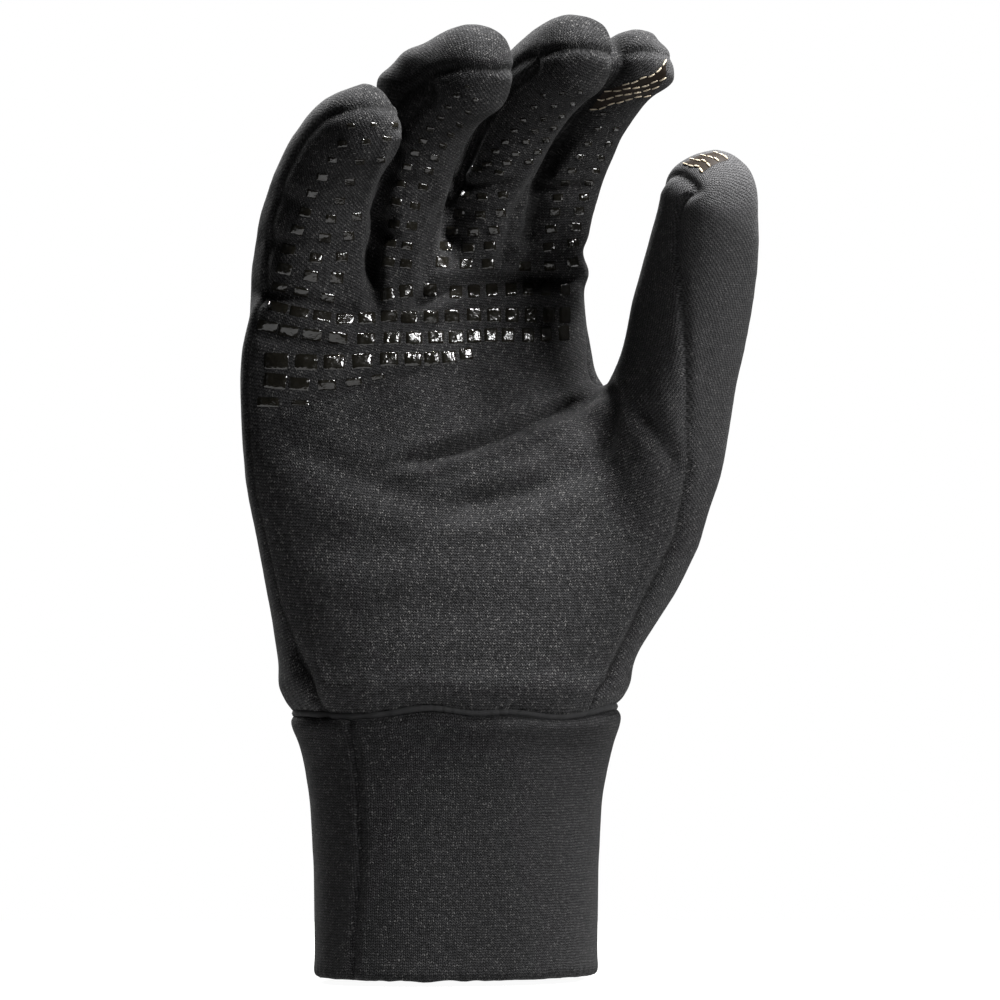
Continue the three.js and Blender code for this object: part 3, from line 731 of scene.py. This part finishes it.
grip_rows = [
    ([(351, 126), (374, 125), (395, 125)], (7, 4.5), (6, 4.5)),
    ([(342, 144), (366, 142), (387, 139)], (9, 6), (8, 5.5)),
    ([(332, 160), (360, 162), (381, 160)], (9, 5), (8, 5)),
    ([(322, 177), (350, 182), (374, 179)], (10, 7), (8, 6)),
    ([(312, 194), (340, 201), (367, 199)], (10, 7.5), (8, 5)),
    ([(305, 212), (331, 219), (357, 217)], (11, 8.5), (9, 7.5)),
    ([(297, 230), (325, 238), (349, 236)], (12, 8.5), (10, 8.5)),
    ([(288, 249), (316, 258), (342, 257)], (13, 9), (11, 9)),
    ([(284, 269), (311, 276), (337, 278)], (14, 10), (12, 11)),
    ([(279, 287), (301, 292), (328, 298)], (14, 8), (13, 8)),
    ([(467, 87)], (5, 2.6), (5, 2.6)),
    ([(456, 96), (476, 100)], (6, 3.2), (5, 3)),
    ([(448, 107), (468, 112)], (6.5, 3.6), (6, 3.4)),
    ([(440, 118), (460, 125)], (7, 4), (6.5, 3.8)),
    ([(430, 129), (451, 135)], (7.5, 4.6), (7, 4.4)),
    ([(423, 141), (443, 146)], (8, 5), (7.5, 5)),
    ([(415, 153), (435, 158)], (8.5, 5.6), (8, 5.4)),
    ([(407, 167), (429, 171)], (9, 6), (8.5, 6)),
    ([(401, 184), (423, 187)], (9.5, 6.6), (9, 6.6)),
    ([(396, 202), (415, 206)], (10, 7.4), (9.5, 7.4)),
    ([(394, 224), (412, 226)], (10.5, 8), (10, 8)),
    ([(390, 243), (407, 246)], (11, 8), (10, 8)),
    ([(388, 262), (406, 264)], (12, 9), (11, 9)),
    ([(543, 95), (562, 93), (580, 92)], (5, 2.6), (5, 2.6)),
    ([(534, 107), (554, 106), (573, 104)], (6, 3.2), (5.5, 3)),
    ([(523, 120), (544, 119), (562, 116)], (6.5, 3.6), (6, 3.4)),
    ([(514, 131), (535, 131), (554, 128)], (7, 4), (6.5, 4)),
    ([(505, 142), (526, 142), (546, 140)], (7.5, 4.4), (7, 4.4)),
    ([(495, 151), (516, 154), (538, 152)], (8, 4.4), (7.5, 4.4)),
    ([(487, 164), (507, 163), (529, 162)], (9, 5), (8, 4.6)),
    ([(477, 169), (499, 173)], (10, 5), (9, 5)),
    ([(464, 194), (482, 197), (503, 195)], (10, 7), (9, 7)),
    ([(459, 213), (480, 215), (501, 213)], (10, 7.5), (9, 7.5)),
    ([(452, 231), (473, 232), (494, 230)], (11, 8), (10, 8)),
    ([(446, 246), (468, 248), (490, 246)], (11.5, 8.5), (11, 8.5)),
    ([(442, 262), (466, 264), (488, 264)], (12, 10), (11.5, 10)),
    ([(603, 114)], (6, 3), (6, 3)),
    ([(598, 129), (616, 129)], (6.5, 3.6), (6, 3.6)),
    ([(588, 144), (609, 144)], (7, 4), (6.5, 4)),
    ([(580, 157), (601, 158)], (7.5, 4.6), (7, 4.6)),
    ([(572, 171), (596, 171)], (8, 5), (7.5, 5)),
    ([(565, 183), (589, 183)], (8.5, 5), (8, 5)),
    ([(558, 198), (584, 197)], (9.5, 7), (9, 7)),
    ([(555, 212), (579, 211)], (10, 7.5), (9.5, 7.5)),
    ([(551, 229), (576, 227)], (10.5, 8), (10, 8)),
    ([(549, 247), (573, 243)], (11, 8), (10.5, 8)),
    ([(525, 266), (550, 266), (573, 262)], (11, 9), (10.5, 9)),
    ([(387, 294), (406, 291), (430, 290), (456, 292), (474, 291), (492, 290), (511, 289), (528, 289), (546, 289),
      (565, 289), (582, 288)], (13, 12), (9, 12)),
    ([(278, 307), (299, 312), (322, 316), (345, 319), (367, 318), (389, 316), (409, 317), (431, 317), (452, 316),
      (474, 315), (494, 315), (512, 315), (531, 315), (549, 315), (565, 315), (581, 315)], (18, 9), (10, 15)),
    ([(267, 326), (288, 331), (312, 335), (338, 338), (366, 339), (392, 338), (414, 338), (436, 337), (456, 337),
      (474, 336), (491, 335), (508, 335), (528, 335), (546, 334), (564, 333)], (19, 10), (10, 14)),
    ([(276, 361), (306, 362), (334, 362), (362, 361), (389, 359), (413, 359), (432, 358), (449, 357),
      (466, 354)], (22, 15), (12, 11)),
    ([(275, 381), (299, 384), (327, 385), (354, 382), (378, 377)], (21, 14), (12, 5)),
    ([(268, 402), (300, 403)], (20, 9), (16, 5)),
]
steps = (-1.0, -0.84, -0.55, -0.2, 0.2, 0.55, 0.84, 1.0)
pad_points, pad_faces, pad_edge = [], [], []
for row, left_size, right_size in grip_rows:
    row_line = np.array(row, float)
    for number, (x, y) in enumerate(row):
        share = number / max(len(row) - 1, 1)
        wide = 1.16 * (left_size[0] + (right_size[0] - left_size[0]) * share)
        high_px = 1.16 * (left_size[1] + (right_size[1] - left_size[1]) * share)
        slope = row_line[min(number + 1, len(row) - 1)] - row_line[max(number - 1, 0)]
        angle = math.atan2(slope[1], slope[0]) if len(row) > 1 else 0.0
        middle_point, middle_facing = cast(x, y)
        if middle_point is None:
            continue
        points, faced = [], Vector()
        for v in steps:
            for u in steps:
                inset = 1 - 0.1 * (abs(u) * abs(v)) ** 6
                du, dv = u * wide / 2 * inset, v * high_px / 2 * inset
                point, facing = cast(x + du * math.cos(angle) - dv * math.sin(angle),
                                     y + du * math.sin(angle) + dv * math.cos(angle))
                if point is None or (point - middle_point).length > 0.006:
                    break
                points.append(point)
                faced += facing
            else:
                continue
            break
        if len(points) < len(steps) ** 2:
            continue
        faced.normalize()
        first = len(pad_points)
        k = 0
        for v in steps:
            for u in steps:
                edge = max(abs(u), abs(v))
                rise = -0.12 if edge == 1.0 else 0.19 if edge == 0.84 else 0.27
                pad_points.append(points[k] + faced * rise * 0.001)
                pad_edge.append(1.0 if edge >= 0.84 else 0.0)
                k += 1
        size = len(steps)
        for i in range(size - 1):
            for j in range(size - 1):
                corner = first + i * size + j
                pad_faces.append((corner, corner + size, corner + size + 1, corner + 1))
mesh = bpy.data.meshes.new("grip_print")
mesh.from_pydata(pad_points, [], pad_faces)
mesh.polygons.foreach_set("use_smooth", np.ones(len(mesh.polygons), bool))
mesh.attributes.new("edge", "FLOAT", "POINT")
mesh.attributes["edge"].data.foreach_set("value", np.array(pad_edge, np.float32))
grip = mesh_object("grip_print", mesh)
bpy.ops.object.mode_set(mode="EDIT")
bpy.ops.mesh.select_all(action="SELECT")
bpy.ops.mesh.normals_make_consistent(inside=False)
bpy.ops.object.mode_set(mode="OBJECT")

g = Graph("grip_print")
place = g.source("ShaderNodeTexCoord", "Object")
edge = g.tree.nodes.new("ShaderNodeAttribute")
edge.attribute_name = "edge"
g.tree.links.new(g.blend(g.noise(place, 420.0), (0.003, 0.0027, 0.002, 1), (0.012, 0.0108, 0.008, 1)),
                 g.shader.inputs["Base Color"])
smooth = g.math("MAXIMUM", g.ramp(g.noise(place, 520.0, 3.0), 0.45, 0.6), edge.outputs["Fac"])
g.tree.links.new(g.ramp(smooth, 0.0, 1.0, 0.26, 0.13), g.shader.inputs["Roughness"])
g.bump(g.noise(place, 480.0, 2.0), 0.8, 0.0006)
g.shader.inputs["Specular IOR Level"].default_value = 0.45
grip.data.materials.append(g.material)
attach(grip, "root")

# Touch points: four rows of ivory stitches of conductive thread over the tips of the index finger and the
# thumb, on a brown ground of the same thread. Rows are read across the picture, in pixels.
touch_rows = [
    [(622, 85), (633, 82), (642, 78), (651, 75.5), (658, 71), (663, 65.5), (666.5, 59)],
    [(604, 91), (618, 90), (627, 88.7), (636, 87), (645.5, 85.5), (653.5, 82), (662, 79), (667, 76)],
    [(597, 99), (602, 100), (612, 96.7), (621, 95), (628, 93.3), (637, 92), (645.6, 90.6), (652, 88), (660, 85)],
    [(589.5, 109), (598, 109), (605.6, 106), (611, 104), (619, 101.7), (628, 99), (637, 96.7), (643, 96), (652, 94)],
    [(683, 163.5), (688, 165), (694.4, 166.7), (699.4, 167.5), (702.8, 173)],
    [(689.5, 159), (696.7, 160.3), (703.3, 161.3), (707.8, 164), (710.6, 167.2)],
    [(700, 155), (705.6, 156.4), (710, 157), (715.6, 159.6), (719.4, 162.8)],
    [(713, 152.5), (717.8, 153.6), (722.8, 155.5), (725.6, 158.3), (727.8, 160.6)],
]


def tube(points, facings, radius, sides=6):
    """A closed little roll of thread along points, flattened on the cloth."""
    verts, faces = [], []
    count = len(points)
    for i, (point, facing) in enumerate(zip(points, facings)):
        along = (points[min(i + 1, count - 1)] - points[max(i - 1, 0)]).normalized()
        side = along.cross(facing).normalized()
        up = side.cross(along)
        ease = math.sin(math.pi * (0.12 + 0.76 * i / (count - 1))) ** 0.5
        for k in range(sides):
            turn = 2 * math.pi * k / sides
            verts.append(point + (side * math.cos(turn) + up * math.sin(turn)) * radius * ease)
    for i in range(count - 1):
        for k in range(sides):
            a, b = i * sides + k, i * sides + (k + 1) % sides
            faces.append((a, b, b + sides, a + sides))
    faces.append(tuple(range(sides))[::-1])
    faces.append(tuple(range((count - 1) * sides, count * sides)))
    return verts, faces


thread_points, thread_faces, thread_kind = [], [], []
for row_number, row in enumerate(touch_rows):
    line = np.array(row, float)
    lengths = np.concatenate([[0], np.cumsum(np.linalg.norm(np.diff(line, axis=0), axis=1))])
    period = 9.0 if row_number < 4 else 6.6
    dashes = max(int(round(lengths[-1] / period)), 2)
    for dash in range(dashes):
        begin, end = (dash + 0.06) / dashes, (dash + 0.86) / dashes
        picked = []
        for share in np.linspace(begin, end, 6):
            x = np.interp(share * lengths[-1], lengths, line[:, 0])
            y = np.interp(share * lengths[-1], lengths, line[:, 1])
            picked.append(cast(x, y + 0.5 * math.sin(dash * 2.3)))
        if any(point is None for point, _ in picked):
            continue
        if max((picked[i + 1][0] - picked[i][0]).length for i in range(5)) > 0.003:
            continue
        mean = Vector()
        for _, facing in picked:
            mean += facing
        mean.normalize()
        thick = 0.24 if row_number < 4 else 0.2 + 0.18 * dash / dashes
        verts, faces = tube([point + mean * 0.00018 for point, _ in picked], [mean] * 6, thick * 0.001)
        first = len(thread_points)
        thread_points += verts
        thread_faces += [tuple(first + k for k in face) for face in faces]
        thread_kind += [1.0] * len(verts)
for group in (touch_rows[:4], touch_rows[4:]):
    for upper, lower in zip(group[:-1], group[1:]):
        grid = []
        for across in np.linspace(0.02, 0.98, 25):
            ends = []
            for row in (upper, lower):
                line = np.array(row, float)
                lengths = np.concatenate([[0], np.cumsum(np.linalg.norm(np.diff(line, axis=0), axis=1))])
                ends.append([np.interp(across * lengths[-1], lengths, line[:, k]) for k in (0, 1)])
            ends = np.array(ends)
            for down in np.linspace(-0.05, 1.05, 6):
                grid.append(cast(*(ends[0] + (ends[1] - ends[0]) * down)))
        for i in range(24):
            for j in range(5):
                four = [grid[i * 6 + j], grid[i * 6 + j + 1], grid[i * 6 + j + 7], grid[i * 6 + j + 6]]
                if any(point is None for point, _ in four):
                    continue
                if max((four[k][0] - four[k - 1][0]).length for k in range(4)) > 0.003:
                    continue
                first = len(thread_points)
                thread_points += [point + facing * 0.00009 for point, facing in four]
                thread_faces.append((first, first + 1, first + 2, first + 3))
                thread_kind += [0.0] * 4
mesh = bpy.data.meshes.new("touch_stitches")
mesh.from_pydata(thread_points, [], thread_faces)
mesh.polygons.foreach_set("use_smooth", np.ones(len(mesh.polygons), bool))
mesh.attributes.new("stitch", "FLOAT", "POINT")
mesh.attributes["stitch"].data.foreach_set("value", np.array(thread_kind, np.float32))
touch = mesh_object("touch_stitches", mesh)
bpy.ops.object.mode_set(mode="EDIT")
bpy.ops.mesh.select_all(action="SELECT")
bpy.ops.mesh.remove_doubles(threshold=0.00001)
bpy.ops.mesh.normals_make_consistent(inside=False)
bpy.ops.object.mode_set(mode="OBJECT")

g = Graph("touch_thread")
place = g.source("ShaderNodeTexCoord", "Object")
kind = g.tree.nodes.new("ShaderNodeAttribute")
kind.attribute_name = "stitch"
ivory = g.blend(g.noise(place, 1500.0), (0.3, 0.23, 0.14, 1), (0.75, 0.67, 0.54, 1))
ground = g.blend(g.noise(place, 2500.0), (0.003, 0.002, 0.0013, 1), (0.022, 0.015, 0.010, 1))
g.tree.links.new(g.blend(kind.outputs["Fac"], ground, ivory), g.shader.inputs["Base Color"])
g.shader.inputs["Roughness"].default_value = 0.6
g.shader.inputs["Specular IOR Level"].default_value = 0.1
touch.data.materials.append(g.material)
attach(touch, "root")

# Waist seam: the hand and the cuff are joined by a narrow dark overlocked edge that stays in the gap
# between them.
verts, faces = [], []
turns, sides = 360, 8
for i in range(turns):
    turn = 2 * math.pi * i / turns
    inside_cloth = Vector((0, 0, wrist + 0.0012 + float(waist(turn))))
    hit, _, _, _ = body.ray_cast(inside_cloth, Vector((math.cos(turn), math.sin(turn), 0)))
    reach = Vector((hit.x, hit.y, 0)).length - 0.0016
    rise = 0.0724 + float(waist(turn))
    for k in range(sides):
        bend = 2 * math.pi * k / sides
        out = reach + 0.0009 * math.cos(bend) + 0.0001 * math.sin(turn * 220)
        verts.append((out * math.cos(turn), out * math.sin(turn), rise + 0.0010 * math.sin(bend)))
for i in range(turns):
    for k in range(sides):
        a, b = i * sides + k, i * sides + (k + 1) % sides
        c, d = (i + 1) % turns * sides + k, (i + 1) % turns * sides + (k + 1) % sides
        faces.append((a, c, d, b))
mesh = bpy.data.meshes.new("waist_seam")
mesh.from_pydata(verts, [], faces)
mesh.polygons.foreach_set("use_smooth", np.ones(len(mesh.polygons), bool))
waist_seam = mesh_object("waist_seam", mesh)
bpy.ops.object.mode_set(mode="EDIT")
bpy.ops.mesh.select_all(action="SELECT")
bpy.ops.mesh.normals_make_consistent(inside=False)
bpy.ops.object.mode_set(mode="OBJECT")

g = Graph("seam_thread")
g.shader.inputs["Base Color"].default_value = (0.004, 0.004, 0.0045, 1)
g.shader.inputs["Roughness"].default_value = 0.9
waist_seam.data.materials.append(g.material)
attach(waist_seam, "root")
